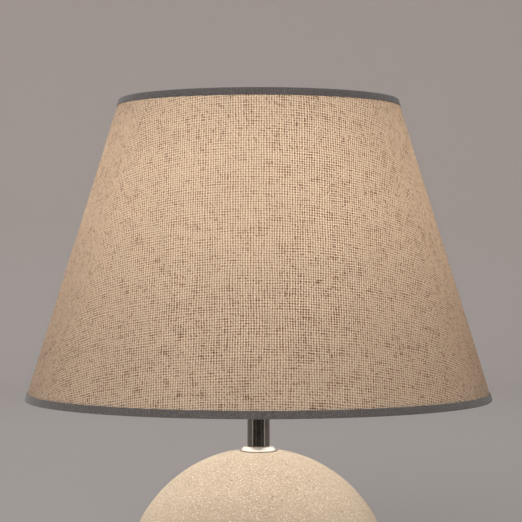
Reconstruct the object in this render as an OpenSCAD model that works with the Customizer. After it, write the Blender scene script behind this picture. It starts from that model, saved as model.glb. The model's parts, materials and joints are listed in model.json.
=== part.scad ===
// Table lamp: a hollow stoneware ball on a felt foot, a short metal neck, an E27 lampholder
// with its bulb, and a tapered linen shade clamped on the lampholder by a shade ring.
// Millimetres. The table is the plane z = 0, the lamp's axis is the Z axis, and the cord
// inlet is low on the back of the ball, towards +Y.

/* [Base] */
// Diameter of the stoneware ball
ball_d = 202; // [190:1:215]
// Height cut off under the ball, which gives it a flat foot
ball_foot_cut = 12; // [11:0.5:15]
// Height cut off the top of the ball, which seats the neck
ball_land_cut = 1.2; // [1.2:0.1:1.8]
// Wall thickness of the ball
ball_wall = 6; // [5.5:0.5:7]
// Thickness of the felt under the foot
felt_t = 2; // [1:0.5:3]
// Diameter of the felt
felt_d = 92; // [88:1:94]
// Diameter of the disc that closes the foot
cover_d = 84; // [82:1:85]
// Thickness of the disc that closes the foot
cover_t = 2; // [1.5:0.5:3]
// Angle of the cord inlet below the horizontal
inlet_angle = 40; // [36:1:44]
// Bore of the cord inlet
inlet_bore_d = 6.4; // [5:0.2:7]

/* [Neck] */
// Diameter of the polished cap on the ball
vase_cap_d = 28; // [26:0.5:29]
// Diameter of the top of that cap
vase_cap_top_d = 21; // [19:0.5:23]
// Height of that cap
vase_cap_h = 3; // [2.5:0.5:4]
// Outer diameter of the neck tube
neck_d = 17; // [15:0.5:18]
// Length of the neck tube
neck_h = 44; // [40:1:60]
// Wall of the neck tube
neck_wall = 1.2; // [0.8:0.2:1.6]
// Diameter of the threaded tube that holds the lamp together
rod_d = 10; // [9.6:0.1:10]
// Bore of the threaded tube
rod_bore_d = 7.4; // [6:0.2:7.6]
// Width of the hexagonal nut across its flats
nut_af = 14; // [13:0.5:17]

/* [Lampholder] */
// Diameter of the lampholder's threaded sleeve
sleeve_d = 39.4; // [39:0.1:39.6]
// Height of the sleeve above its flange
sleeve_h = 34; // [33:1:35]
// Diameter of the flange that carries the shade
flange_d = 48; // [46:1:50]
// Height of the flange's upper face above the lampholder's underside
flange_up = 26; // [25.5:0.5:26]

/* [Shade] */
// Outer diameter of the shade's lower edge
shade_bottom_d = 350; // [330:1:380]
// Outer diameter of the shade's upper edge
shade_top_d = 210; // [190:1:230]
// Height of the shade
shade_h = 225; // [215:1:250]
// Thickness of the linen
linen_t = 0.7; // [0.6:0.1:1]
// Thickness of the stiff lining behind the linen
lining_t = 0.5; // [0.4:0.1:0.8]
// Height of the tape that binds both edges
tape_h = 5.5; // [5:0.5:8]
// Thickness of the tape
tape_t = 0.6; // [0.4:0.1:0.8]
// Diameter of the wire rings in both edges
ring_wire_d = 2.8; // [2.5:0.1:3.4]
// Height of the fitter above the shade's lower edge
fitter_up = 34.6; // [33:0.2:36]
// Diameter of the fitter's three spokes
spoke_d = 3.2; // [2.8:0.2:3.6]

/* [Shade ring] */
// Diameter of the shade ring's foot
shade_ring_d = 57; // [54:0.5:58]
// Diameter of the shade ring's grip
shade_ring_grip_d = 49; // [47:0.5:51]
// Height of the shade ring
shade_ring_h = 14; // [12:0.5:15]
// Number of ribs on the shade ring's grip
shade_ring_ribs = 30; // [18:1:36]

/* [Bulb] */
// Diameter of the bulb
bulb_d = 60; // [58:1:62]
// Height of the bulb from its contact to its top
bulb_h = 108; // [106:1:112]
// Outer diameter of the bulb's screw cap
bulb_cap_d = 26.2; // [26:0.1:26.4]

/* [Hidden] */
$fn = 96;

// Gaps: between pieces that move on each other, between fixed ones, and round a loose fit
run_gap = 0.3;
glue_gap = 0.05;
fit_gap = 0.25;
// Overrun of a cut past the face it cuts
over = 1;

// Ball
ball_r = ball_d / 2;
ball_z = felt_t + ball_r - ball_foot_cut;
ball_in_r = ball_r - ball_wall;
land_z = ball_z + ball_r - ball_land_cut;
roof_z = land_z - ball_wall;
cover_seat_d = cover_d + 2 * fit_gap;
cover_seat_h = cover_t + fit_gap;
rod_hole_d = rod_d + 1;

// Cord grommet, along its own axis out from the ball's centre
grommet_d = 10;
grommet_lip_d = 14;
grommet_lip_t = 1.5;

// Clamping stack under the roof of the ball
seal_d = 26;
seal_t = 2;
clamp_d = 24;
clamp_t = 1.5;
nut_h = 3;
seal_z = roof_z - seal_t;
clamp_z = seal_z - clamp_t;
nut_z = clamp_z - nut_h;
rod_below_nut = 8;
rod_z = nut_z - rod_below_nut;

// Neck
vase_cap_edge = 0.8;
neck_z = land_z + vase_cap_h;
holder_z = neck_z + neck_h;

// Lampholder, heights above its underside
holder_foot_d = 20;
holder_cap_d = 38;
holder_cap_h = 18;
holder_dome_h = 13;
holder_solid_h = 8;
holder_wall = 1.6;
collar_d = 33;
collar_h = 4.5;
sleeve_in_d = 33.4;
grip_d = 41;
flange_t = 3;
rod_into_holder = 7.5;
grub_d = 3;
grub_l = 7;
grub_up = 4;
core_up = 13;
core_low_d = 29.4;
core_d = 32.8;
well_up = 32;
core_rim_up = 46;
well_d = 28.2;
terminal_x = 9.5;
terminal_head_d = 5.6;
terminal_head_h = 2;
terminal_screw_d = 3;
terminal_screw_l = 8;
wire_hole_d = 3.6;
flange_z = holder_z + flange_up;
sleeve_z = holder_z + holder_cap_h;
sleeve_top_z = flange_z + sleeve_h;

// Screw shell and contacts
shell_in_d = bulb_cap_d + 2 * run_gap;
shell_t = 0.5;
shell_up = well_up + glue_gap;
shell_h = 25;
shell_lip = 0.8;
contact_w = 6;
contact_t = 0.5;
contact_rise = 1.7;
contact_foot_x = 10;
contact_bend_x = 5;
contact_tip_x = 3.5;

// Shade
shade_z = flange_z + run_gap - fitter_up;
shade_top_z = shade_z + shade_h;
shade_bottom_r = shade_bottom_d / 2;
shade_top_r = shade_top_d / 2;
shade_taper = (shade_bottom_r - shade_top_r) / shade_h;
shade_slant = atan(shade_taper);
linen_in = tape_t + glue_gap;
lining_in = linen_in + linen_t + glue_gap;
wire_in = lining_in + lining_t + glue_gap;
tape_back_in = wire_in + ring_wire_d + glue_gap;
wire_up = tape_t + glue_gap + ring_wire_d / 2;

// Fitter and shade ring
fitter_z = flange_z + run_gap;
fitter_t = 1.8;
fitter_bore_d = 42;
fitter_d = 63;
spoke_count = 3;
spoke_first_angle = 90;
shade_ring_z = fitter_z + fitter_t + run_gap;
shade_ring_foot_h = 3;
shade_ring_bore_d = sleeve_d + 2 * run_gap;
rib_d = 1.6;

// Bulb, heights above its contact
bulb_z = holder_z + well_up + contact_t + contact_rise + run_gap;
bulb_r = bulb_d / 2;
contact_d = 9;
contact_h = 1.6;
insulator_h = 4.2;
bulb_cap_up = contact_h + insulator_h;
bulb_cap_h = 19;
bulb_cap_wall = 0.5;
housing_up = bulb_cap_up + bulb_cap_h;
housing_foot_d = 27.4;
housing_wall = 1.4;
globe_wall = 1.2;
globe_centre_up = bulb_h - bulb_r;
globe_cut_up = globe_centre_up - bulb_r / 3;
globe_cut_r = sqrt(pow(bulb_r, 2) - pow(bulb_r / 3, 2));
led_board_t = 1.6;
led_board_r = globe_cut_r - housing_wall - 2;
led_board_up = globe_cut_up - 5;
driver_w = 17;
driver_t = 1.4;
driver_h = 26;
driver_up = housing_up + 5;
outline_steps = 24;

// A round bar standing on height z
module bar(d, h, z) translate([0, 0, z]) cylinder(d = d, h = h);

// A round bar's bore, cut past both ends
module bore(d, h, z) bar(d, h + 2 * over, z - over);

// A straight tube standing on height z
module tube(d, bore_d, h, z) difference() {
    bar(d, h, z);
    bore(bore_d, h, z);
}

// A point in the shade's wall section: how far in from its outer face, and how far up from
// its lower edge
function wall_point(depth, up) =
    [shade_bottom_r - up * shade_taper - depth / cos(shade_slant), shade_z + up];

// Ends of a spoke in the section plane: inside the fitter ring's edge and at the wire's centre
spoke_start = [fitter_d / 2 - over, fitter_z + fitter_t / 2];
spoke_end = wall_point(wire_in + ring_wire_d / 2, wire_up);

// A skin of the shade's wall between two depths, inside both tapes
module shade_skin(depth, t) rotate_extrude() polygon([
    wall_point(depth, tape_t + glue_gap), wall_point(depth, shade_h - tape_t - glue_gap),
    wall_point(depth + t, shade_h - tape_t - glue_gap), wall_point(depth + t, tape_t + glue_gap)
]);

// A wire ring behind the lining, its centre at the given height above the lower edge
module wire_ring(up) rotate_extrude()
    translate(wall_point(wire_in + ring_wire_d / 2, up)) circle(d = ring_wire_d);

// The tape folded over an edge: edge is the edge's height, turn is 1 upwards and -1 downwards
module edge_tape(edge, turn) rotate_extrude() polygon([
    wall_point(0, edge), wall_point(0, edge + turn * tape_h),
    wall_point(tape_t, edge + turn * tape_h), wall_point(tape_t, edge + turn * tape_t),
    wall_point(tape_back_in, edge + turn * tape_t), wall_point(tape_back_in, edge + turn * tape_h),
    wall_point(tape_back_in + tape_t, edge + turn * tape_h), wall_point(tape_back_in + tape_t, edge)
]);

// The fitter's straight spokes at a given diameter, running a little into what they join
module spoke_rods(d) {
    run = spoke_end - spoke_start;
    for (i = [0:spoke_count - 1]) rotate(spoke_first_angle + 360 * i / spoke_count)
        translate([spoke_start[0], 0, spoke_start[1]]) rotate([0, 90 - atan2(run[1], run[0]), 0])
            cylinder(d = d, h = norm(run) - ring_wire_d / 4);
}

// Turns its children from +Z to the cord inlet's direction, from the ball's centre
module along_inlet() translate([0, 0, ball_z]) rotate([-90 - inlet_angle, 0, 0]) children();

// Half outline of the bulb's housing, set in by the given wall
function housing_outline(wall) = [
    for (i = [0:outline_steps])
        let (s = i / outline_steps, swell = s * s * (3 - 2 * s))
        [housing_foot_d / 2 + (globe_cut_r - housing_foot_d / 2) * swell - wall,
         bulb_z + housing_up + (globe_cut_up - housing_up) * s]
];

module felt_pad() color("dimgray") bar(felt_d, felt_t, 0);

module base_cover() color("black") bar(cover_d, cover_t, felt_t);

module ceramic_body() color("tan") difference() {
    intersection() {
        translate([0, 0, ball_z]) sphere(r = ball_r);
        bar(ball_d + 2 * over, land_z - felt_t, felt_t);
    }
    intersection() {
        translate([0, 0, ball_z]) sphere(r = ball_in_r);
        bar(ball_d, roof_z - felt_t + over, felt_t - over);
    }
    bore(cover_seat_d, cover_seat_h - over, felt_t);
    bore(rod_hole_d, ball_wall, roof_z);
    along_inlet() cylinder(d = grommet_d + 2 * glue_gap, h = ball_r + over);
}

module cord_grommet() color("black") along_inlet() difference() {
    union() {
        translate([0, 0, ball_in_r - grommet_lip_t])
            cylinder(d = grommet_d, h = ball_wall + 2 * grommet_lip_t);
        difference() {
            translate([0, 0, ball_r - over]) cylinder(d = grommet_lip_d, h = grommet_lip_t + over);
            sphere(r = ball_r + glue_gap);
        }
        translate([0, 0, ball_in_r - grommet_lip_t])
            cylinder(d = grommet_lip_d, h = grommet_lip_t - 2 * fit_gap);
    }
    cylinder(d = inlet_bore_d, h = ball_r + grommet_lip_t + over);
}

module threaded_tube() color("silver")
    tube(rod_d, rod_bore_d, holder_z + rod_into_holder - rod_z, rod_z);

module sealing_washer() color("black") tube(seal_d, rod_hole_d, seal_t, seal_z);

module clamp_washer() color("silver") tube(clamp_d, rod_hole_d, clamp_t, clamp_z);

module lock_nut() color("silver") difference() {
    translate([0, 0, nut_z]) cylinder(r = nut_af / 2 / cos(30), h = nut_h, $fn = 6);
    bore(rod_d + 2 * glue_gap, nut_h, nut_z);
}

module vase_cap() color("gainsboro") difference() {
    union() {
        bar(vase_cap_d, vase_cap_edge, land_z);
        translate([0, 0, land_z + vase_cap_edge])
            cylinder(d1 = vase_cap_d, d2 = vase_cap_top_d, h = vase_cap_h - vase_cap_edge);
    }
    bore(rod_d + 2 * glue_gap, vase_cap_h, land_z);
}

module neck_tube() color("dimgray") tube(neck_d, neck_d - 2 * neck_wall, neck_h, neck_z);

module holder_cap() color("black") difference() {
    rotate_extrude() translate([0, holder_z]) polygon(concat(
        [[0, 0], [holder_foot_d / 2, 0]],
        [for (i = [1:outline_steps]) let (a = 90 * i / outline_steps)
            [holder_foot_d / 2 + (holder_cap_d - holder_foot_d) / 2 * sin(a),
             holder_dome_h * (1 - cos(a))]],
        [[holder_cap_d / 2, holder_cap_h], [collar_d / 2, holder_cap_h],
         [collar_d / 2, holder_cap_h + collar_h], [0, holder_cap_h + collar_h]]
    ));
    bar(collar_d - 2 * holder_wall, holder_cap_h + collar_h, holder_z + holder_solid_h);
    bore(rod_d + 2 * glue_gap, holder_solid_h, holder_z);
    translate([0, rod_d / 2 - over, holder_z + grub_up]) rotate([-90, 0, 0])
        cylinder(d = grub_d + 2 * glue_gap, h = holder_cap_d / 2);
}

module holder_grub_screw() color("silver")
    translate([0, rod_d / 2 + glue_gap, holder_z + grub_up]) rotate([-90, 0, 0]) cylinder(d = grub_d, h = grub_l);

module holder_core() color("white") difference() {
    union() {
        bar(core_low_d, holder_cap_h + collar_h - core_up, holder_z + core_up);
        bar(core_d, core_rim_up - holder_cap_h - collar_h, holder_z + holder_cap_h + collar_h);
    }
    bar(well_d, core_rim_up - well_up + over, holder_z + well_up);
    for (side = [-1, 1]) {
        translate([side * terminal_x, 0, holder_z + core_up - over])
            cylinder(d = terminal_screw_d + 2 * glue_gap, h = terminal_screw_l + over + glue_gap);
        translate([0, side * terminal_x, holder_z + core_up - over])
            cylinder(d = wire_hole_d, h = holder_cap_h - core_up + over);
    }
}

module terminal_screws() color("goldenrod") for (side = [-1, 1])
    translate([side * terminal_x, 0, holder_z + core_up]) {
        cylinder(d = terminal_screw_d, h = terminal_screw_l);
        translate([0, 0, -terminal_head_h - glue_gap])
            cylinder(d = terminal_head_d, h = terminal_head_h);
        translate([0, 0, -terminal_head_h]) cylinder(d = terminal_screw_d, h = terminal_head_h + over);
    }

module centre_contact() color("goldenrod")
    translate([0, contact_w / 2, holder_z + well_up + glue_gap]) rotate([90, 0, 0])
        linear_extrude(contact_w) polygon([
            [-contact_foot_x, 0], [-contact_bend_x, 0], [contact_tip_x, contact_rise - contact_t],
            [contact_tip_x, contact_rise], [-contact_bend_x, contact_t], [-contact_foot_x, contact_t]
        ]);

module screw_shell() color("goldenrod") difference() {
    union() {
        bar(shell_in_d + 2 * shell_t, shell_h, holder_z + shell_up);
        bar(shell_in_d + 2 * (shell_t + shell_lip), shell_lip, holder_z + shell_up + shell_h - shell_lip);
    }
    bore(shell_in_d, shell_h, holder_z + shell_up);
}

module holder_sleeve() color("black") difference() {
    union() {
        bar(grip_d, flange_up - holder_cap_h, sleeve_z);
        bar(flange_d, flange_t, flange_z - flange_t);
        bar(sleeve_d, sleeve_h, flange_z);
    }
    bore(sleeve_in_d, sleeve_top_z - sleeve_z, sleeve_z);
}

module shade_ring() color("black") difference() {
    union() {
        bar(shade_ring_d, shade_ring_foot_h, shade_ring_z);
        bar(shade_ring_grip_d, shade_ring_h, shade_ring_z);
        for (i = [1:shade_ring_ribs]) rotate(360 * i / shade_ring_ribs)
            translate([shade_ring_grip_d / 2, 0, shade_ring_z + shade_ring_foot_h - glue_gap])
                cylinder(d = rib_d, h = shade_ring_h - shade_ring_foot_h - rib_d);
    }
    bore(shade_ring_bore_d, shade_ring_h, shade_ring_z);
}

module fitter_ring() color("white") tube(fitter_d, fitter_bore_d, fitter_t, fitter_z);

module fitter_spokes() color("white") difference() {
    spoke_rods(spoke_d);
    bar(fitter_d + 2 * glue_gap, 2 * spoke_d, fitter_z - spoke_d);
    rotate_extrude() translate(spoke_end) circle(d = ring_wire_d + 2 * glue_gap);
}

module bottom_wire_ring() color("white") wire_ring(wire_up);

module top_wire_ring() color("white") wire_ring(shade_h - wire_up);

module shade_lining() color("ivory") shade_skin(lining_in, lining_t);

module shade_fabric() color("burlywood") shade_skin(linen_in, linen_t);

module bottom_trim() color("dimgray") difference() {
    edge_tape(0, 1);
    spoke_rods(spoke_d + 2 * glue_gap);
}

module top_trim() color("dimgray") edge_tape(shade_h, -1);

module bulb_globe() color("white") difference() {
    translate([0, 0, bulb_z + globe_centre_up]) sphere(r = bulb_r);
    translate([0, 0, bulb_z + globe_centre_up]) sphere(r = bulb_r - globe_wall);
    bar(bulb_d + 2 * over, bulb_d, bulb_z + globe_cut_up - bulb_d);
}

module bulb_housing() color("white") rotate_extrude()
    polygon(concat(housing_outline(0), [for (i = [outline_steps:-1:0]) housing_outline(housing_wall)[i]]));

module bulb_led_board() color("silver") bar(2 * led_board_r, led_board_t, bulb_z + led_board_up);

module bulb_driver() color("green")
    translate([-driver_w / 2, -driver_t / 2, bulb_z + driver_up]) cube([driver_w, driver_t, driver_h]);

module bulb_screw_cap() color("silver")
    tube(bulb_cap_d, bulb_cap_d - 2 * bulb_cap_wall, bulb_cap_h - glue_gap, bulb_z + bulb_cap_up);

module bulb_insulator() color("black") translate([0, 0, bulb_z + contact_h])
    cylinder(d1 = contact_d + 2, d2 = bulb_cap_d - 2, h = insulator_h - run_gap);

module bulb_contact() color("silver")
    translate([0, 0, bulb_z]) cylinder(d1 = contact_d - 2, d2 = contact_d, h = contact_h - glue_gap);

felt_pad();
base_cover();
ceramic_body();
cord_grommet();
threaded_tube();
sealing_washer();
clamp_washer();
lock_nut();
vase_cap();
neck_tube();
holder_cap();
holder_grub_screw();
holder_core();
terminal_screws();
centre_contact();
screw_shell();
holder_sleeve();
shade_ring();
fitter_ring();
fitter_spokes();
bottom_wire_ring();
top_wire_ring();
shade_lining();
shade_fabric();
bottom_trim();
top_trim();
bulb_globe();
bulb_housing();
bulb_led_board();
bulb_driver();
bulb_screw_cap();
bulb_insulator();
bulb_contact();
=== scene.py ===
"""Looks for a table lamp: a tapered linen shade on a speckled stoneware ball, lit from inside.

Everything is in metres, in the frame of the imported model. Z is up and the front is -Y.
"""

import json
import math

import bmesh
import bpy
from mathutils import Matrix, Vector, noise


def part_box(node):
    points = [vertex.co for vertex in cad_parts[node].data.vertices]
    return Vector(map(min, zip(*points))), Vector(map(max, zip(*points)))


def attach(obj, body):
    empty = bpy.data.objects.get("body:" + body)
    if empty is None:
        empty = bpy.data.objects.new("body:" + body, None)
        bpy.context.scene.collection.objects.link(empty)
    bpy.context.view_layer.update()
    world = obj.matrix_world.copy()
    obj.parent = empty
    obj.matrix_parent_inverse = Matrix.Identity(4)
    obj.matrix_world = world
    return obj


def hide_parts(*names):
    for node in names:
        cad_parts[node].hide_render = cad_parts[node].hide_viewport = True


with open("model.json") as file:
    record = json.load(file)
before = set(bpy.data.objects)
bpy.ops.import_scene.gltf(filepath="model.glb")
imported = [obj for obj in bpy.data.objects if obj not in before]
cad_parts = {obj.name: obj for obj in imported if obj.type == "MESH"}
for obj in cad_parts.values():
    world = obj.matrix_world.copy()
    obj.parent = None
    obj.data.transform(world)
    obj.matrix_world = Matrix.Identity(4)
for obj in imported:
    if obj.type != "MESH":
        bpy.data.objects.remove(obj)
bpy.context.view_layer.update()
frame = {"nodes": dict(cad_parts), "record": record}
MM = 0.001


def low(node):
    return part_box(node)[0].z


def top(node):
    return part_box(node)[1].z


def radius(node):
    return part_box(node)[1].x


# ---------------------------------------------------------------- camera
LENS = 124.8
DISTANCE = 1.3626
EYE = Vector((0.0, -DISTANCE, top("top_trim") - 118.2 * MM))
AIM = Vector((1.85 * MM, 0.0, EYE.z - 3.1 * MM))  # the lamp stands a little left of the picture's middle


def make_camera():
    cam = bpy.data.objects.new("camera", bpy.data.cameras.new("camera"))
    bpy.context.collection.objects.link(cam)
    cam.data.lens = LENS
    cam.location = EYE + Vector((AIM.x, 0, 0))
    cam.rotation_euler = (AIM - cam.location).to_track_quat("-Z", "Y").to_euler()
    bpy.context.scene.camera = cam


make_camera()


# ---------------------------------------------------------------- mesh helpers
def piece(obj, body, material, replaced):
    """Puts a finished object's material, body, CAD nodes and material slot in place."""
    obj.data.materials.clear()
    obj.data.materials.append(material)
    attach(obj, body)
    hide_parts(*replaced)


def mesh_object(name, points, faces):
    """A smooth-shaded mesh object from points and faces."""
    mesh = bpy.data.meshes.new(name)
    mesh.from_pydata([tuple(p) for p in points], [], faces)
    mesh.validate()
    mesh.polygons.foreach_set("use_smooth", [True] * len(mesh.polygons))
    obj = bpy.data.objects.new(name, mesh)
    bpy.context.collection.objects.link(obj)
    return obj


def clean(obj, merge=1e-6):
    """Welds doubled points and turns the faces outwards."""
    bm = bmesh.new()
    bm.from_mesh(obj.data)
    bmesh.ops.remove_doubles(bm, verts=bm.verts, dist=merge)
    bmesh.ops.dissolve_degenerate(bm, edges=bm.edges, dist=merge / 10)
    bmesh.ops.recalc_face_normals(bm, faces=bm.faces)
    bm.to_mesh(obj.data)
    bm.free()
    return obj


def rounded(corners, steps=4):
    """A closed outline through corners (r, z, fillet), each corner rounded by its fillet."""
    out = []
    count = len(corners)
    for i, (x, z, fillet) in enumerate(corners):
        here = Vector((x, z))
        if fillet <= 0:
            out.append(here)
            continue
        before = Vector(corners[i - 1][:2]) - here
        after = Vector(corners[(i + 1) % count][:2]) - here
        reach = min(fillet, before.length / 2, after.length / 2)
        start, end = here + before.normalized() * reach, here + after.normalized() * reach
        if before.length > 3 * reach:
            out.append(start + before.normalized() * reach / 4)
        for s in range(steps + 1):
            t = s / steps
            out.append(start * (1 - t) ** 2 + here * 2 * t * (1 - t) + end * t * t)
        if after.length > 3 * reach:
            out.append(end + after.normalized() * reach / 4)
    return out


def arc(centre, r, start, end, steps):
    """Points (r, z) on a circle round a centre on the section plane, angles in degrees."""
    angles = [math.radians(start + (end - start) * i / steps) for i in range(steps + 1)]
    return [Vector((centre[0] + r * math.cos(a), centre[1] + r * math.sin(a))) for a in angles]


def lathe(name, outline, segments=160, shape=None, closed=True):
    """Turns an outline of (r, z) about the Z axis. shape(r, z, angle) may move each point."""
    points, faces = [], []
    rows = len(outline)
    for i in range(segments):
        a = 2 * math.pi * i / segments
        for x, z in outline:
            r, h = shape(x, z, a) if shape else (x, z)
            points.append((r * math.sin(a), -r * math.cos(a), h))
    for i in range(segments):
        j = (i + 1) % segments
        for k in range(rows if closed else rows - 1):
            m = (k + 1) % rows
            faces.append((i * rows + k, j * rows + k, j * rows + m, i * rows + m))
    obj = clean(mesh_object(name, points, faces))
    obj.data.set_sharp_from_angle(angle=math.radians(35))
    return obj


def straight_rows(r, low_z, high_z, step):
    """Points up a wall of radius r at even steps, for a thread to be cut into."""
    count = max(2, math.ceil(abs(high_z - low_z) / step))
    return [Vector((r, low_z + (high_z - low_z) * i / count)) for i in range(count + 1)]


def on_wall(x, wall):
    """Whether a lathe's point lies on the wall of that radius."""
    return abs(x - wall) < 0.01 * MM


def thread(pitch, low_z, high_z, walls):
    """A lathe shape: a right-handed thread that fades out over a turn at both ends.

    walls is a list of (radius, depth), the depth counted outwards.
    """
    def shape(x, z, angle):
        for wall, depth in walls:
            if on_wall(x, wall) and low_z <= z <= high_z:
                fade = min(1, (z - low_z) / pitch, (high_z - z) / pitch)
                wave = 0.5 - 0.5 * math.cos(2 * math.pi * z / pitch - angle)
                return x + depth * fade * wave, z
        return x, z

    return shape


# ---------------------------------------------------------------- material helpers
class Paint:
    """A small wrapper that adds nodes to one material."""

    def __init__(self, name):
        self.material = bpy.data.materials.new(name)
        self.material.use_nodes = True
        self.nodes = self.material.node_tree.nodes
        self.links = self.material.node_tree.links
        self.shader = self.nodes["Principled BSDF"]
        self.output = self.nodes["Material Output"]

    def add(self, kind, *ins, out=0, **settings):
        """Adds a node, fills its inputs in order or by name, and returns an output socket."""
        node = self.nodes.new("ShaderNode" + kind)
        named = settings.pop("ins", {})
        for key, value in settings.items():
            setattr(node, key, value)
        for key, value in [*enumerate(ins), *named.items()]:
            self.put(node.inputs[key], value)
        return node.outputs[out]

    def put(self, socket, value):
        if isinstance(value, bpy.types.NodeSocket):
            self.links.new(value, socket)
        elif value is not None:
            socket.default_value = value

    def math(self, operation, a, b=None, c=None):
        return self.add("Math", a, b, c, operation=operation)

    def times(self, a, b):
        return self.math("MULTIPLY", a, b)

    def stretched(self, vector, scale):
        return self.add("VectorMath", vector, scale, operation="MULTIPLY")

    def mix(self, share, a, b, blend="MIX"):
        """Blends two colours."""
        node = self.nodes.new("ShaderNodeMix")
        node.data_type = "RGBA"
        node.blend_type = blend
        for key, value in ((0, share), (6, a), (7, b)):
            self.put(node.inputs[key], value)
        return node.outputs[2]

    def ramp(self, value, *stops):
        """A colour ramp through (place, colour) stops."""
        node = self.nodes.new("ShaderNodeValToRGB")
        self.put(node.inputs[0], value)
        marks = node.color_ramp.elements
        while len(marks) < len(stops):
            marks.new(0.5)
        for mark, (place, colour) in zip(marks, stops):
            mark.position = place
            mark.color = (*colour, 1) if len(colour) == 3 else colour
        return node.outputs[0]

    def span(self, value, low_in, high_in, low_out=0.0, high_out=1.0):
        """Maps one range of a value to another, and holds it at the ends."""
        return self.add("MapRange", value, low_in, high_in, low_out, high_out)

    def place(self, scale=(1, 1, 1)):
        """Object coordinates, in metres, scaled."""
        return self.stretched(self.add("TexCoord", out=3), scale)

    def noise(self, where, scale, detail=2.0, rough=0.5):
        return self.add("TexNoise", where, ins={"Scale": scale, "Detail": detail, "Roughness": rough})

    def bump(self, height, distance, strength=1.0):
        return self.add("Bump", ins={"Strength": strength, "Distance": distance, "Height": height})

    def set(self, **values):
        """Sets the shader's sockets by name, with _ for a space, and returns the material."""
        for key, value in values.items():
            self.put(self.shader.inputs[key.replace("_", " ")], value)
        return self.material


def grained(name, colour, shade, rough, metallic, size, depth, streak=(1, 1, 1), spread=0.12, **values):
    """A finish with a fine grain: colour drifts to shade, and roughness and bump follow the grain."""
    p = Paint(name)
    where = p.place(streak)
    grain = p.noise(where, 1 / size, 4)
    cloud = p.noise(p.place(), 1 / (14 * size), 3)
    tint = p.mix(p.span(cloud, 0.3, 0.7), (*colour, 1), (*shade, 1))
    gloss = p.span(grain, 0.25, 0.75, rough - spread / 2, rough + spread / 2)
    return p.set(Base_Color=tint, Metallic=metallic, Roughness=gloss, Normal=p.bump(grain, depth), **values)


# ---------------------------------------------------------------- materials
WEAVE_PITCH = 1.77 * MM
WANDER = 1.5  # how far threads stray, in pitches
SLUB_STEP, SLUB_RUN = 7.31, 0.15  # slub noise per thread across, and per pitch along it
LET_THROUGH = 0.64  # share of the light that passes through the linen


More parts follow.
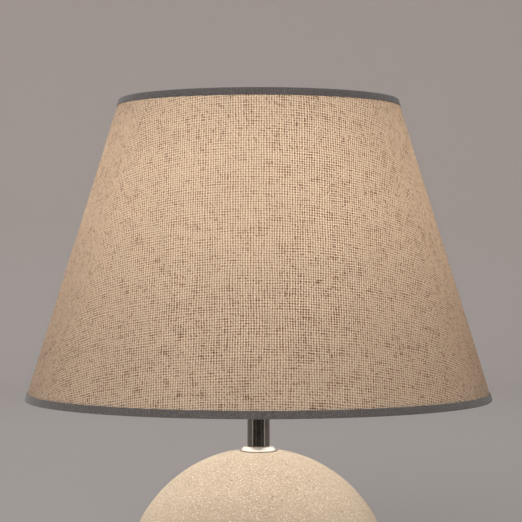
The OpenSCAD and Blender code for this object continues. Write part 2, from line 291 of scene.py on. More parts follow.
def linen():
    """Coarse plain weave of slubby threads, seen on the cloth's own flat coordinates."""
    p = Paint("linen")
    flat = p.add("UVMap", uv_map="flat")
    # threads wander a little: each set is shifted by a noise that is long in its own direction
    drift_u = p.noise(p.stretched(flat, (70, 24, 1)), 1, 2)
    drift_v = p.noise(p.stretched(flat, (24, 70, 1)), 1, 2)
    split = p.add("SeparateXYZ", flat)
    across = split.node.outputs[1]
    u = p.math("MULTIPLY_ADD", split, 1 / WEAVE_PITCH, p.times(drift_u, WANDER))
    v = p.math("MULTIPLY_ADD", across, 1 / WEAVE_PITCH, p.times(drift_v, WANDER))

    def threads(one, other):
        """How far a point is from its thread's middle, the thread's own random value, its slub noise."""
        mine = p.math("FLOOR", one)
        off = p.math("ABSOLUTE", p.math("SUBTRACT", p.math("FRACT", one), 0.5))
        own = p.add("TexWhiteNoise", mine, noise_dimensions="1D")
        along = p.add("CombineXYZ", p.times(mine, SLUB_STEP), p.times(other, SLUB_RUN))
        return off, own, p.noise(along, 1.0, 3)

    def each(shift):
        """A random value for each crossing (shift 0) or for each gap between crossings (shift 0.5)."""
        column = p.math("FLOOR", p.math("ADD", u, shift))
        row = p.math("FLOOR", p.math("ADD", v, shift))
        return p.add("TexWhiteNoise", p.add("CombineXYZ", column, row), noise_dimensions="2D")

    off_u, own_u, slub_u = threads(u, v)
    off_v, own_v, slub_v = threads(v, u)
    crossing = each(0.0)
    opening = p.span(each(0.5), 0, 1, 0.09, -0.11)

    def cover(off, own, slub, thin, full):
        """Where a thread covers: half its width in pitches runs from thin to full with its slubs."""
        half = p.math("ADD", p.span(slub, 0.33, 0.55, thin, full), p.span(own, 0, 1, -0.05, 0.05))
        half = p.math("ADD", half, opening)
        return p.span(p.math("SUBTRACT", half, off), -0.05, 0.09)

    cover_u = cover(off_u, own_u, slub_u, 0.20, 0.40)
    cover_v = cover(off_v, own_v, slub_v, 0.18, 0.41)
    closed = p.math("MAXIMUM", cover_u, cover_v)
    # over and under: the warp lies on top in every other cell
    cell = p.math("ADD", p.math("FLOOR", u), p.math("FLOOR", v))
    warp_up = p.times(p.math("FRACT", p.times(cell, 0.5)), 2)

    def raised(off, cover_here, under, over):
        """The thread's round back, lower where it dips from over to under."""
        crown = p.math("SUBTRACT", 1, p.times(p.times(off, off), 3.4))
        return p.times(p.times(crown, cover_here), p.span(warp_up, 0, 1, under, over))

    high_u = raised(off_u, cover_u, 0.72, 1)
    high_v = p.times(raised(off_v, cover_v, 1, 0.72), p.span(crossing, 0, 1, 0.74, 1.0))
    height = p.math("MAXIMUM", high_u, high_v)
    # colour: cream threads that differ a little, with painted shade where a thread's back is low and a
    # painted dark shadow where the weave is open
    fibre = p.noise(p.stretched(flat, (2600, 2600, 1)), 1, 2)
    upper = p.math("GREATER_THAN", high_u, high_v)
    own = p.math("ADD", p.times(own_u, upper), p.times(own_v, p.math("SUBTRACT", 1, upper)))
    pale = p.mix(own, (0.78, 0.72, 0.61, 1), (0.93, 0.895, 0.83, 1))
    pale = p.mix(p.span(crossing, 0, 1, 0, 0.32), pale, (0.70, 0.60, 0.47, 1))
    pale = p.mix(p.span(fibre, 0.3, 0.7, 0, 0.3), pale, (0.66, 0.56, 0.43, 1))
    # painted shade: each thread darkens towards its edges and where it dips under its neighbour, following
    # the height of its back
    painted_thread_shade = p.mix(p.span(height, 0.35, 0.95), (0.53, 0.38, 0.255, 1), (1, 1, 1, 1))
    cloth = p.mix(1.0, pale, painted_thread_shade, blend="MULTIPLY")
    # painted shadow: the open gaps between threads go near-black brown, deeper in some patches than in others
    gap_shadow_depth = p.span(p.noise(flat, 60, 3), 0.35, 0.65, 0.75, 1.0)
    tint = p.mix(p.times(p.math("SUBTRACT", 1, closed), gap_shadow_depth), cloth, (0.10, 0.022, 0.003, 1))
    normal = p.bump(height, 0.28 * MM, 0.9)
    p.set(Base_Color=tint, Roughness=0.92, Normal=normal, Sheen_Weight=0.12, Sheen_Roughness=0.5,
          Specular_IOR_Level=0.15)
    glow = p.add("BsdfTranslucent", p.mix(1.0, tint, (1.0, 0.90, 0.81, 1), blend="MULTIPLY"), normal)
    p.put(p.output.inputs[0], p.add("MixShader", LET_THROUGH, p.shader.outputs[0], glow))
    return p.material


def lining():
    """Stiff ivory film that lets light through, with a faint print of the cloth behind it."""
    p = Paint("lining")
    flat = p.add("UVMap", uv_map="flat")
    print_grain = p.noise(flat, 900, 3)
    haze = p.noise(flat, 25, 3)
    tint = p.mix(p.span(haze, 0.3, 0.7), (0.84, 0.79, 0.71, 1), (0.90, 0.86, 0.79, 1))
    p.set(Base_Color=tint, Roughness=p.span(print_grain, 0.3, 0.7, 0.55, 0.7),
          Normal=p.bump(print_grain, 0.03 * MM), Specular_IOR_Level=0.3)
    glow = p.add("BsdfTranslucent", (0.96, 0.93, 0.88, 1))
    p.put(p.output.inputs[0], p.add("MixShader", 0.52, p.shader.outputs[0], glow))
    return p.material


def tape():
    """Grey felted tape: tiny flecks of lighter and darker wool."""
    p = Paint("grey_tape")
    where = p.place()
    fleck = p.noise(where, 1100, 3, 0.7)
    blot = p.noise(where, 260, 3)
    tint = p.ramp(fleck, (0.28, (0.036, 0.032, 0.030)), (0.5, (0.096, 0.086, 0.081)),
                  (0.74, (0.20, 0.182, 0.172)))
    tint = p.mix(p.span(blot, 0.35, 0.7, 0, 0.4), tint, (0.075, 0.067, 0.062, 1))
    return p.set(Base_Color=tint, Roughness=0.95, Normal=p.bump(fleck, 0.16 * MM, 0.8), Sheen_Weight=0.25,
                 Sheen_Roughness=0.6, Specular_IOR_Level=0.2)


def stoneware():
    """Sandy unglazed stoneware with bright quartz specks, dark iron specks and fine pits with painted shade
    in them.
    """
    p = Paint("stoneware")
    where = p.place()
    sand = p.noise(where, 950, 4, 0.65)
    mottle = p.noise(where, 90, 4)
    wash = p.noise(where, 14, 3)
    tint = p.ramp(sand, (0.34, (0.32, 0.24, 0.163)), (0.5, (0.46, 0.368, 0.268)), (0.66, (0.60, 0.505, 0.39)))
    tint = p.mix(p.span(mottle, 0.35, 0.65, 0, 0.35), tint, (0.53, 0.436, 0.335, 1))
    tint = p.mix(p.span(wash, 0.35, 0.65, 0, 0.25), tint, (0.43, 0.338, 0.245, 1))

    def specks(scale, size, share):
        """1 inside scattered dots: cells of which only a share hold a dot."""
        cell = p.add("TexVoronoi", where, ins={"Scale": scale, "Randomness": 1.0})
        dot = p.math("LESS_THAN", cell, size)
        pick = p.add("SeparateColor", cell.node.outputs[1])
        return p.times(dot, p.math("LESS_THAN", pick, share))

    quartz = specks(760, 0.30, 0.34)
    iron = specks(300, 0.20, 0.12)
    shaded_pits = specks(210, 0.16, 0.16)
    tint = p.mix(p.times(quartz, 0.6), tint, (0.95, 0.88, 0.76, 1))
    tint = p.mix(p.times(iron, 0.65), tint, (0.20, 0.12, 0.07, 1))
    # painted shade: the pits are darkened as if in shadow, besides their dent in the bump
    tint = p.mix(p.times(shaded_pits, 0.5), tint, (0.30, 0.20, 0.13, 1))
    height = p.math("SUBTRACT", p.math("ADD", sand, p.times(quartz, 0.5)), p.times(shaded_pits, 1.5))
    return p.set(Base_Color=tint, Diffuse_Roughness=1.0,
                 Roughness=p.math("SUBTRACT", 0.78, p.times(quartz, 0.4)),
                 Normal=p.bump(height, 0.12 * MM, 0.8), Specular_IOR_Level=0.4)


def drawn_metal(name, colour, shade, rough, streak, size=0.5 * MM):
    """A metal with fine marks, drawn out by streak."""
    return grained(name, colour, shade, rough, 1.0, size, 0.004 * MM, streak, 0.1)


GLOW_COLOUR = (1.0, 0.955, 0.90)


def bulb_glow():
    """Opal diffuser, lit warm white."""
    p = Paint("opal_diffuser")
    haze = p.noise(p.place(), 60, 3)
    tint = p.mix(p.span(haze, 0.3, 0.7), (0.90, 0.88, 0.83, 1), (0.94, 0.92, 0.88, 1))
    return p.set(Base_Color=tint, Roughness=0.35, Emission_Color=(*GLOW_COLOUR, 1), Emission_Strength=21.5,
                 Normal=p.bump(haze, 0.01 * MM))


LINEN, LINING, TAPE, STONEWARE, GLOW = linen(), lining(), tape(), stoneware(), bulb_glow()
POLISHED = drawn_metal("polished_metal", (0.67, 0.63, 0.565), (0.62, 0.585, 0.525), 0.30, (1, 1, 40))
DARK_CHROME = drawn_metal("dark_chrome", (0.34, 0.31, 0.28), (0.26, 0.235, 0.21), 0.10, (1, 1, 0.02),
                          0.6 * MM)
ZINC = drawn_metal("zinc_steel", (0.60, 0.60, 0.58), (0.46, 0.46, 0.45), 0.38, (1, 1, 6))
BRASS = drawn_metal("brass", (0.78, 0.58, 0.27), (0.66, 0.46, 0.20), 0.28, (1, 1, 8))
NICKEL = drawn_metal("nickel_cap", (0.70, 0.68, 0.64), (0.60, 0.58, 0.55), 0.25, (1, 1, 6))
SOLDER = grained("solder", (0.60, 0.60, 0.61), (0.45, 0.45, 0.46), 0.35, 1.0, 0.8 * MM, 0.05 * MM)
THERMOSET = grained("black_thermoset", (0.022, 0.021, 0.020), (0.032, 0.030, 0.028), 0.42, 0.0, 0.35 * MM,
                    0.012 * MM)
PORCELAIN = grained("porcelain", (0.80, 0.78, 0.73), (0.74, 0.72, 0.67), 0.18, 0.0, 3 * MM, 0.02 * MM)
LACQUER = grained("white_lacquer", (0.82, 0.80, 0.76), (0.76, 0.74, 0.69), 0.30, 0.0, 1.2 * MM, 0.02 * MM)
RUBBER = grained("black_rubber", (0.020, 0.020, 0.020), (0.035, 0.034, 0.033), 0.7, 0.0, 0.4 * MM, 0.02 * MM)
FELT = grained("felt", (0.085, 0.080, 0.075), (0.13, 0.12, 0.11), 0.95, 0.0, 0.35 * MM, 0.25 * MM,
               spread=0.05, Sheen_Weight=0.3)
HARDBOARD = grained("hardboard", (0.24, 0.155, 0.09), (0.16, 0.10, 0.06), 0.8, 0.0, 0.6 * MM, 0.08 * MM,
                    (1, 1, 5))
WHITE_PLASTIC = grained("white_plastic", (0.80, 0.79, 0.76), (0.76, 0.75, 0.72), 0.35, 0.0, 0.5 * MM,
                        0.01 * MM)
BOARD = grained("board_aluminium", (0.74, 0.74, 0.74), (0.66, 0.66, 0.66), 0.4, 1.0, 0.6 * MM, 0.01 * MM)
CIRCUIT = grained("circuit_board", (0.02, 0.16, 0.06), (0.03, 0.22, 0.09), 0.4, 0.0, 0.6 * MM, 0.02 * MM)
BLACK_GLASS = grained("black_glass", (0.012, 0.012, 0.014), (0.02, 0.02, 0.024), 0.08, 0.0, 2 * MM, 0.01 * MM)


# ---------------------------------------------------------------- shade
SHADE_LOW, SHADE_TOP = low("bottom_trim"), top("top_trim")
SHADE_H = SHADE_TOP - SHADE_LOW
TAPE_H = top("bottom_trim") - SHADE_LOW
R_LOW = radius("bottom_trim")
R_TOP = (radius("top_trim") - R_LOW * TAPE_H / SHADE_H) / (1 - TAPE_H / SHADE_H)
TAPER = (R_LOW - R_TOP) / SHADE_H
SLANT = math.atan(TAPER)
TAPE_T, LINEN_T, LINING_T, WIRE_D, GLUE = 0.6 * MM, 0.7 * MM, 0.5 * MM, 2.8 * MM, 0.05 * MM
WIRE_IN = TAPE_T + LINEN_T + LINING_T + 3 * GLUE
TAPE_BACK = WIRE_IN + WIRE_D + GLUE


def wall_point(depth, up):
    """A point of the shade's wall section: depth in from its outer face, up from its lower edge."""
    return Vector((R_LOW - up * TAPER - depth / math.cos(SLANT), SHADE_LOW + up))


def cone_sheet(name, depth, overlap, wave, columns=420, rows=40):
    """A sheet cut flat from a ring sector and wrapped into the cone, with its flat coordinates.

    Its two ends overlap at the back, where the outer one climbs over the inner one.
    """
    start, end = wall_point(depth, TAPE_T + GLUE), wall_point(depth, SHADE_H - TAPE_T - GLUE)
    turn = math.sin(SLANT)
    extra = overlap / start.x
    points, flats, faces = [], [], []
    for i in range(columns + 1):
        phi = -math.pi - extra / 2 + (2 * math.pi + extra) * i / columns
        climb = 0.45 * MM * max(0.0, min(1.0, (phi - math.pi + 2.2 * extra) / extra)) if overlap else 0.0
        for k in range(rows + 1):
            at = start.lerp(end, k / rows)
            ripple = noise.noise(Vector((math.sin(phi) * 2.2, math.cos(phi) * 2.2, at.y * 9))) * wave
            r = at.x + ripple + climb
            points.append((r * math.sin(phi), -r * math.cos(phi), at.y))
            slant = at.x / turn
            flats.append((slant * math.sin(turn * phi), -slant * math.cos(turn * phi)))
    for i in range(columns):
        for k in range(rows):
            a = i * (rows + 1) + k
            faces.append((a, a + rows + 1, a + rows + 2, a + 1))
    obj = mesh_object(name, points, faces)
    layer = obj.data.uv_layers.new(name="flat")
    for loop in obj.data.loops:
        layer.data[loop.index].uv = flats[loop.vertex_index]
    return obj


def shade_sheets():
    """The linen outside and the film inside, each cut as a ring sector."""
    cloth = cone_sheet("linen_cover", TAPE_T + GLUE, 9 * MM, 0.25 * MM)
    piece(cloth, "shade", LINEN, ["shade_fabric"])
    film = cone_sheet("lining_film", WIRE_IN - GLUE, 0.0, 0.15 * MM)
    piece(film, "shade", LINING, ["shade_lining"])


def tape_ring(name, node, edge, turn):
    """A tape folded over a wire ring: turn is 1 where it stands up from the edge, -1 where it hangs."""
    fold = 1.4 * MM

    def corner(depth, up, fillet):
        at = wall_point(depth, edge + turn * up)
        return (at.x, at.y, fillet)

    outline = rounded([
        corner(0, 0, fold), corner(0, TAPE_H, 0.25 * MM), corner(TAPE_T, TAPE_H, 0.1 * MM),
        corner(TAPE_T, TAPE_T, 0.3 * MM), corner(TAPE_BACK, TAPE_T, 0.3 * MM),
        corner(TAPE_BACK, TAPE_H, 0.1 * MM), corner(TAPE_BACK + TAPE_T, TAPE_H, 0.25 * MM),
        corner(TAPE_BACK + TAPE_T, 0, fold)])

    def uneven(r, z, a):
        where = Vector((math.sin(a) * 14, math.cos(a) * 14, z * 120))
        free = abs(z - SHADE_LOW - edge) / TAPE_H
        return (r + noise.noise(where) * 0.10 * MM, z + noise.noise(where * 1.7) * 0.16 * MM * free)

    ring = lathe(name, outline, 420, uneven)
    piece(ring, "shade", TAPE, [node])


# ---------------------------------------------------------------- base
BALL_R = radius("ceramic_body")
LAND_Z = top("ceramic_body")
FOOT_Z = low("ceramic_body")
BALL_CUT = 1.2 * MM  # how much of the sphere the flat top cuts off
BALL_Z = LAND_Z + BALL_CUT - BALL_R
BALL_WALL = 6 * MM
SINK = 0.6 * MM  # the clay's flat top lies this much under the drawn one, and the cap's rim with it
INLET_HOLE_R = 5.05 * MM
ROD_HOLE_R = 5.05 * MM


def ball():
    """The hollow stoneware ball, with softened edges and the slight unevenness of a thrown pot."""
    inner = BALL_R - BALL_WALL
    roof = LAND_Z - BALL_WALL
    seat_r, seat_z = 42.25 * MM, FOOT_Z + 2.25 * MM
    hole_r = 5.5 * MM
    land = LAND_Z - SINK
    land_a = math.degrees(math.asin((land - BALL_Z) / BALL_R))
    foot_a = math.degrees(math.asin((FOOT_Z - BALL_Z) / BALL_R))
    roof_a = math.degrees(math.asin((roof - BALL_Z) / inner))
    seat_a = math.degrees(math.asin((seat_z - BALL_Z) / inner))
    outer_arc = arc((0, BALL_Z), BALL_R, land_a - 2.2, foot_a + 1.2, 150)
    inner_arc = arc((0, BALL_Z), inner, seat_a, roof_a, 60)
    land_r = BALL_R * math.cos(math.radians(land_a))
    foot_r = BALL_R * math.cos(math.radians(foot_a))
    bend = [Vector((land_r - 4 * MM, land)), Vector((land_r, land)), outer_arc[0]]
    curve = [bend[0] * (1 - t) ** 2 + bend[1] * 2 * t * (1 - t) + bend[2] * t * t
             for t in (0, 0.2, 0.4, 0.6, 0.8)]
    outline = [Vector((hole_r, land - 0.4 * MM)), Vector((hole_r + 0.4 * MM, land))] + curve
    outline += outer_arc
    outline += [Vector((foot_r + 0.3 * MM, FOOT_Z + 0.7 * MM)), Vector((foot_r - 0.6 * MM, FOOT_Z))]
    outline += [Vector((seat_r, FOOT_Z)), Vector((seat_r, seat_z))]
    outline += inner_arc + [Vector((hole_r, roof))]

    def thrown(r, z, a):
        on_skin = abs(math.hypot(r, z - BALL_Z) - BALL_R) <= MM
        if not on_skin or not FOOT_Z + 2 * MM <= z <= LAND_Z - 2 * MM:
            return (r, z)
        where = Vector((math.sin(a) * r * 22, math.cos(a) * r * 22, z * 30))
        return (r + noise.noise(where) * 0.22 * MM - 0.12 * MM, z)

    body = lathe("stoneware_ball", outline, 320, thrown)
    drill_inlet(body)
    piece(body, "base", STONEWARE, ["ceramic_body"])


def inlet_frame():
    """A matrix that takes +Z to the cord inlet's direction, from the ball's centre."""
    mount = next(m for m in frame["record"]["mounts"] if m["name"] == "cord_inlet")
    way = Vector(mount["axis"])
    return Matrix.Translation((0, 0, BALL_Z)) @ way.to_track_quat("Z", "Y").to_matrix().to_4x4()


def drill_inlet(body):
    """Cuts the cord inlet's hole with a round cutter."""
    start, end = 80 * MM, 110 * MM
    section = [Vector(c) for c in [(0, start), (INLET_HOLE_R, start), (INLET_HOLE_R, end), (0, end)]]
    cutter = lathe("inlet_cutter", section, 48)
    cutter.matrix_world = inlet_frame()
    bpy.context.view_layer.update()
    cut = body.modifiers.new("inlet", "BOOLEAN")
    cut.object = cutter
    cut.solver = "EXACT"
    depsgraph = bpy.context.evaluated_depsgraph_get()
    mesh = bpy.data.meshes.new_from_object(body.evaluated_get(depsgraph))
    body.modifiers.clear()
    body.data = mesh
    bpy.data.objects.remove(cutter)


def grommet():
    """Rubber grommet with rounded lips, in the cord inlet."""
    inner, outer = BALL_R - 7.5 * MM, BALL_R + 1.5 * MM
    bore_r, waist_r, lip_r = 3.2 * MM, 5 * MM, 7 * MM
    outline = rounded([
        (bore_r, inner, 0.4 * MM), (lip_r, inner, 0.5 * MM), (lip_r, inner + 1.0 * MM, 0.3 * MM),
        (waist_r, inner + 1.0 * MM, 0.2 * MM), (waist_r, outer - 1.6 * MM, 0.2 * MM),
        (lip_r, outer - 1.7 * MM, 0.2 * MM), (lip_r, outer, 0.9 * MM), (bore_r, outer, 0.5 * MM)])
    ring = lathe("rubber_grommet", outline, 64)
    ring.data.transform(inlet_frame())
    piece(ring, "base", RUBBER, ["cord_grommet"])


def turned(name, node, body, material, corners):
    """A turned piece that stands for a CAD node, from corners (r, z, fillet) in metres."""
    piece(lathe(name, rounded(corners), 128), body, material, [node])


def neck():
    """The polished cap on the ball and the dark tube above it, with softened edges."""
    cap_low, cap_high = low("vase_cap"), top("vase_cap")
    cap_r = radius("vase_cap")
    tube_r, tube_bore = radius("neck_tube"), radius("neck_tube") - 1.2 * MM
    tube_low, tube_high = low("neck_tube"), top("neck_tube")
    seat = cap_low - SINK
    turned("polished_cap", "vase_cap", "base", POLISHED, [
        (ROD_HOLE_R, seat, 0), (cap_r - 0.35 * MM, seat, 0.15 * MM), (cap_r, seat + 0.35 * MM, 0.1 * MM),
        (cap_r, seat + 0.9 * MM, 0.25 * MM), (12.75 * MM, seat + 2.4 * MM, 1.2 * MM),
        (10.9 * MM, cap_high - 0.15 * MM, 0.4 * MM), (10.3 * MM, cap_high, 0.15 * MM),
        (ROD_HOLE_R, cap_high, 0)])
    turned("dark_neck_tube", "neck_tube", "base", DARK_CHROME, [
        (tube_bore, tube_low, 0.1 * MM), (tube_r, tube_low, 0.3 * MM),
        (tube_r, tube_high, 0.3 * MM), (tube_bore, tube_high, 0.1 * MM)])


# ---------------------------------------------------------------- bulb, holder and fitter
ROD_R, ROD_BORE_R, ROD_PITCH = 5.0 * MM, 3.7 * MM, 1.0 * MM
SLEEVE_BORE_R, SLEEVE_R, GRIP_R, SLEEVE_PITCH = 16.7 * MM, 19.7 * MM, 20.5 * MM, 3.0 * MM
FLANGE_T, PLAY, GROOVES = 3 * MM, 0.3 * MM, 48
RING_BORE_R, RING_R, RING_FOOT_H, RIBS, RIB_R = 20.0 * MM, 24.5 * MM, 3 * MM, 30, 0.8 * MM
SHELL_R, SHELL_T, CAP_T = 13.4 * MM, 0.5 * MM, 0.5 * MM
SCREW_PITCH = 3.6285 * MM  # seven turns to the inch, as the bulb's joints travel
FITTER_BORE_R, SPOKE_R, SPOKES = 21 * MM, 1.6 * MM, 3


def bulb():
    """The bulb's lit globe, open below where it meets the housing."""
    low_z, high_z = low("bulb_globe"), top("bulb_globe")
    r = radius("bulb_globe")
    centre = high_z - r
    start = math.degrees(math.asin((low_z - centre) / r))
    outline = arc((0, centre), r, start, 90, 40)
    globe = lathe("bulb_diffuser", outline, 96, closed=False)
    piece(globe, "bulb", GLOW, ["bulb_globe"])


def threaded_rod():
    """The zinc-plated threaded tube through the ball and the neck."""
    z, end, tip_r = low("threaded_tube"), top("threaded_tube"), ROD_R - 0.4 * MM
    outline = straight_rows(ROD_R, z + 0.3 * MM, end - 0.3 * MM, ROD_PITCH / 6)
    outline += [Vector(c) for c in [(tip_r, end), (ROD_BORE_R, end), (ROD_BORE_R, z), (tip_r, z)]]
    cut = thread(ROD_PITCH, z, end, [(ROD_R, -0.4 * MM)])
    piece(lathe("threaded_rod", outline, 40, cut), "base", ZINC, ["threaded_tube"])


def sleeve():
    """The lampholder's sleeve: grooved grip, flange the shade rests on, threaded skirt, plain bore."""
    z, end, seat = low("holder_sleeve"), top("holder_sleeve"), low("fitter_ring") - PLAY
    flange, flange_low = radius("holder_sleeve"), seat - FLANGE_T
    outline = [Vector(c) for c in [
        (SLEEVE_BORE_R, z + 0.3 * MM), (SLEEVE_BORE_R + 0.3 * MM, z), (GRIP_R - 0.5 * MM, z),
        (GRIP_R, z + 0.5 * MM), (GRIP_R, flange_low - 0.4 * MM), (GRIP_R, flange_low),
        (flange - 0.4 * MM, flange_low), (flange, flange_low + 0.4 * MM),
        (flange, seat - 0.4 * MM), (flange - 0.4 * MM, seat)]]
    outline += straight_rows(SLEEVE_R, seat, end - 0.5 * MM, SLEEVE_PITCH / 8)
    outline += [Vector((SLEEVE_R - 0.5 * MM, end)), Vector((SLEEVE_BORE_R + 0.4 * MM, end)),
                Vector((SLEEVE_BORE_R, end - 0.4 * MM))]
    cut = thread(SLEEVE_PITCH, seat + 0.5 * MM, end - 0.6 * MM, [(SLEEVE_R, -0.7 * MM)])

    def shape(x, height, angle):
        if on_wall(x, GRIP_R) and height < flange_low - 0.1 * MM:
            return x - 0.35 * MM * (0.5 - 0.5 * math.cos(GROOVES * angle)), height
        return cut(x, height, angle)

    tube = lathe("threaded_sleeve", outline, 4 * GROOVES, shape)
    piece(tube, "base", THERMOSET, ["holder_sleeve"])


def clamp_ring():
    """The ribbed ring that clamps the shade, threaded inside."""
    z, end, foot = low("shade_ring"), top("shade_ring"), radius("shade_ring")
    step = z + RING_FOOT_H
    outline = [Vector(c) for c in [
        (RING_BORE_R + 0.4 * MM, z), (foot - 0.5 * MM, z), (foot, z + 0.5 * MM), (foot, step - 0.5 * MM),
        (foot - 0.5 * MM, step), (RING_R, step), (RING_R, step + 0.3 * MM), (RING_R, end - 1.6 * MM),
        (RING_R, end - 0.5 * MM), (RING_R - 0.5 * MM, end), (RING_BORE_R + 0.4 * MM, end)]]
    outline += straight_rows(RING_BORE_R, end - 0.4 * MM, z + 0.4 * MM, SLEEVE_PITCH / 8)
    cut = thread(SLEEVE_PITCH, z + 0.4 * MM, end - 0.4 * MM, [(RING_BORE_R, 0.6 * MM)])

    def shape(x, height, angle):
        if on_wall(x, RING_R) and step + 0.1 * MM < height < end - 1.5 * MM:
            aside = ((angle - math.pi / 2) * RIBS / (2 * math.pi) + 0.5) % 1 - 0.5
            across = aside * 2 * math.pi * RING_R / RIBS / RIB_R
            return x + RIB_R * math.sqrt(max(0, 1 - across * across)), height
        return cut(x, height, angle)

    ring = lathe("ribbed_clamp_ring", outline, 12 * RIBS, shape)
    piece(ring, "shade_clamp", THERMOSET, ["shade_ring"])


def screw_shell():
    """The holder's brass screw shell, with a shallow rolled thread and a lip at its mouth."""
    z, end, lip = low("screw_shell"), top("screw_shell"), radius("screw_shell")
    inner, outer = SHELL_R, SHELL_R + SHELL_T
    outline = straight_rows(outer, z, end - 0.8 * MM, SCREW_PITCH / 8)
    outline += [Vector((lip, end - 0.7 * MM)), Vector((lip, end - 0.1 * MM)),
                Vector((lip - 0.1 * MM, end)), Vector((inner + 0.2 * MM, end))]
    outline += straight_rows(inner, end - 0.2 * MM, z, SCREW_PITCH / 8)
    cut = thread(SCREW_PITCH, z + 1 * MM, end - 1.5 * MM, [(inner, -0.22 * MM), (outer, -0.22 * MM)])
    piece(lathe("brass_screw_shell", outline, 96, cut), "base", BRASS, ["screw_shell"])


def screw_cap():
    """The bulb's nickel cap, its rolled thread in step with the shell's."""
    z, end, r = low("bulb_screw_cap"), top("bulb_screw_cap"), radius("bulb_screw_cap")
    lead_in, tip_r = z + 0.6 * MM, r - 0.9 * MM
    outline = [Vector((tip_r, z))] + straight_rows(r, lead_in, end, SCREW_PITCH / 8)
    outline += straight_rows(r - CAP_T, end, lead_in, SCREW_PITCH / 8)
    outline += [Vector((tip_r - CAP_T, z + 0.3 * MM))]
    cut = thread(SCREW_PITCH, lead_in, end - 2.5 * MM, [(r, -0.75 * MM), (r - CAP_T, -0.75 * MM)])
    piece(lathe("nickel_screw_cap", outline, 96, cut), "bulb", NICKEL, ["bulb_screw_cap"])


def spoke(start, finish, wire_r, angle):
    """One straight rod from (r, z) start to finish, with a small weld at each end."""
    run = finish - start
    length = run.length - wire_r / 2
    weld = 0.5 * MM
    outline = [Vector(c) for c in [
        (0, 0), (SPOKE_R + weld, 0), (SPOKE_R + weld / 3, 1 * MM), (SPOKE_R, 2.2 * MM),
        (SPOKE_R, length - 2.2 * MM), (SPOKE_R + weld / 3, length - 1 * MM),
        (SPOKE_R + weld / 2, length), (0, length)]]
    rod = lathe("spoke", outline, 20, closed=False)
    tilt = Matrix.Rotation(math.pi / 2 - math.atan2(run.y, run.x), 4, "Y")
    around = Matrix.Rotation(math.radians(angle), 4, "Z")
    rod.data.transform(around @ Matrix.Translation((start.x, 0, start.y)) @ tilt)
    return rod


def wire_frame():
    """Round wire rings at both edges, the flat fitter ring and its three spokes, all lacquered."""
    for name, node in (("bottom_wire", "bottom_wire_ring"), ("top_wire", "top_wire_ring")):
        r = (top(node) - low(node)) / 2
        centre = (radius(node) - r, low(node) + r)
        ring = lathe(name, arc(centre, r, 0, 360, 14)[:-1], 240)
        piece(ring, "shade", LACQUER, [node])
    z, end, outer = low("fitter_ring"), top("fitter_ring"), radius("fitter_ring")
    turned("flat_fitter_ring", "fitter_ring", "shade", LACQUER, [
        (FITTER_BORE_R, z, 0.4 * MM), (outer, z, 0.5 * MM), (outer, end, 0.5 * MM),
        (FITTER_BORE_R, end, 0.4 * MM)])
    wire_r = (top("bottom_wire_ring") - low("bottom_wire_ring")) / 2
    start = Vector((outer - 0.4 * MM, (z + end) / 2))
    finish = Vector((radius("bottom_wire_ring") - wire_r, low("bottom_wire_ring") + wire_r))
    rods = [spoke(start, finish, wire_r, 90 + 360 / SPOKES * i) for i in range(SPOKES)]
    with bpy.context.temp_override(active_object=rods[0], selected_editable_objects=rods):
        bpy.ops.object.join()
    rods[0].name = "wire_spokes"
    piece(rods[0], "shade", LACQUER, ["fitter_spokes"])


CAD_FINISH = {
    "felt_pad": FELT, "base_cover": HARDBOARD, "sealing_washer": RUBBER,
    "clamp_washer": ZINC, "lock_nut": ZINC, "holder_cap": THERMOSET, "holder_grub_screw": ZINC,
    "holder_core": PORCELAIN, "terminal_screws": BRASS, "centre_contact": BRASS,
    "bulb_housing": WHITE_PLASTIC,
    "bulb_led_board": BOARD, "bulb_driver": CIRCUIT, "bulb_insulator": BLACK_GLASS,
    "bulb_contact": SOLDER,
}


def finish_cad_nodes():
    """Paints the CAD nodes that stay as they are."""
    for node, material in CAD_FINISH.items():
        for slot in frame["nodes"][node].material_slots:
            slot.material = material


# ---------------------------------------------------------------- studio
def add_light(name, place, aim, size, power, glossy=False):
    """A rectangular soft light that the camera doesn't see."""
    data = bpy.data.lights.new(name, "AREA")
    data.shape = "RECTANGLE"
    data.size, data.size_y = size
    data.energy = power
    light = bpy.data.objects.new(name, data)
    bpy.context.collection.objects.link(light)
    light.location = place
    light.rotation_euler = (Vector(aim) - Vector(place)).to_track_quat("-Z", "Y").to_euler()
    light.visible_glossy = glossy
    light.visible_camera = False
    return light


GLOW_LIGHTS, GLOW_POWER, GLOW_R, GLOW_Z = 6, 0.03, 60 * MM, 298 * MM


def add_glow(name, angle):
    """A small soft lamp inside the shade that stands for light scattered by the opal bulb."""
    data = bpy.data.lights.new(name, "POINT")
    data.energy = GLOW_POWER
    data.shadow_soft_size = 14 * MM
    data.color = GLOW_COLOUR
    light = bpy.data.objects.new(name, data)
    bpy.context.collection.objects.link(light)
    a = math.radians(angle)
    light.location = (GLOW_R * math.sin(a), -GLOW_R * math.cos(a), GLOW_Z)
    light.visible_camera = False
    light.visible_glossy = False


def backdrop():
    """A pale floor that curves up into a wall all round, so no view meets an edge."""
    floor_r, wall_r, wall_h = 3.2, 4.4, 4.0
    outline = [Vector((0.0, 0.0)), Vector((floor_r / 2, 0.0))]
    outline += arc((floor_r, wall_r - floor_r), wall_r - floor_r, -90, 0, 24)
    outline += [Vector((wall_r, wall_h))]
    sweep = lathe("backdrop", outline, 96, closed=False)
    p = Paint("backdrop")
    where = p.place()
    tooth = p.noise(where, 250, 3)
    height = p.add("SeparateXYZ", where, out=2)
    tint = p.mix(p.span(height, 0.0, 0.45), (0.625, 0.59, 0.575, 1), (0.60, 0.545, 0.517, 1))
    p.set(Base_Color=tint, Roughness=p.span(tooth, 0.3, 0.7, 0.85, 0.95), Normal=p.bump(tooth, 0.05 * MM))
    sweep.data.materials.append(p.material)


CARD_LOW, CARD_HIGH, CARD_R, STREAK_R = 0.01, 0.9, 1.2, 1.18


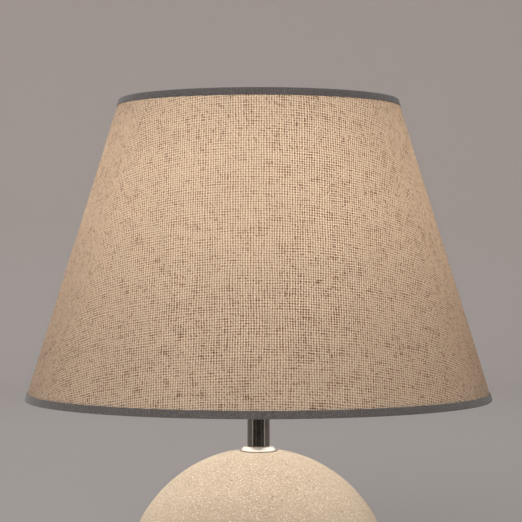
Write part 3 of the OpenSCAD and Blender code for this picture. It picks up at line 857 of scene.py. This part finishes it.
def mirror_card(name, start, end, r, material):
    """A curved card seen only in reflections: it spans start to end degrees, 0 being the front."""
    steps = 24
    points, faces = [], []
    for i in range(steps + 1):
        a = math.radians(start + (end - start) * i / steps)
        for z in (CARD_LOW, CARD_HIGH):
            points.append((r * math.sin(a), -r * math.cos(a), z))
    for i in range(steps):
        faces.append((2 * i, 2 * i + 2, 2 * i + 3, 2 * i + 1))
    card = mesh_object(name, points, faces)
    card.data.materials.append(material)
    for way in ("camera", "diffuse", "transmission", "shadow", "volume_scatter"):
        setattr(card, "visible_" + way, False)


def card_paint(name, colour, glow):
    """A faintly glowing matt paint for a card."""
    p = Paint(name)
    weave = p.noise(p.place(), 40, 2)
    return p.set(Base_Color=(*colour, 1), Roughness=p.span(weave, 0.3, 0.7, 0.85, 0.95),
                 Emission_Color=(1.0, 0.95, 0.88, 1), Emission_Strength=glow)


def studio():
    """Backdrop, soft lights, and the cards that the chrome neck reflects."""
    backdrop()
    add_light("key", (-0.45, -2.65, 1.0), (0, 0, 0.28), (1.2, 1.2), 55)
    add_light("ceiling", (0, 0, 3.4), (0, 0, 0), (5, 5), 25)
    add_light("wall_wash", (-0.4, 1.6, 3.2), (-0.4, 4.4, 0.5), (4, 1), 29)
    mouth = add_light("shade_mouth", (0, 0, SHADE_LOW + 14 * MM), (0, 0, 0), (0.30, 0.30), 0.27, glossy=True)
    mouth.data.shape = "DISK"
    for i in range(GLOW_LIGHTS):
        add_glow("inner_glow_%d" % i, i * 360 / GLOW_LIGHTS + 30)
    mirror_card("front_flag", -57, 57, CARD_R, card_paint("flag_black", (0.03, 0.028, 0.025), 0.03))
    grey = card_paint("streak_grey", (0.10, 0.095, 0.09), 0.11)
    mirror_card("streak_left", -30, -22, STREAK_R, grey)
    mirror_card("streak_right", 26, 36, STREAK_R, grey)
    white = card_paint("strip_white", (0.6, 0.58, 0.55), 0.6)
    mirror_card("strip_left", -56.5, -66, CARD_R, white)
    mirror_card("strip_right", 56.5, 66, CARD_R, white)
    world = bpy.data.worlds.new("studio")
    bpy.context.scene.world = world
    world.use_nodes = True
    sky = world.node_tree.nodes["Background"]
    sky.inputs["Color"].default_value = (1.0, 0.98, 0.97, 1)
    sky.inputs["Strength"].default_value = 0.2
    bpy.context.scene.view_settings.view_transform = "Standard"


# ---------------------------------------------------------------- the scene
shade_sheets()
tape_ring("bottom_tape", "bottom_trim", 0.0, 1)
tape_ring("top_tape", "top_trim", SHADE_H, -1)
ball()
grommet()
neck()
bulb()
threaded_rod()
sleeve()
clamp_ring()
screw_shell()
screw_cap()
wire_frame()
finish_cad_nodes()
studio()
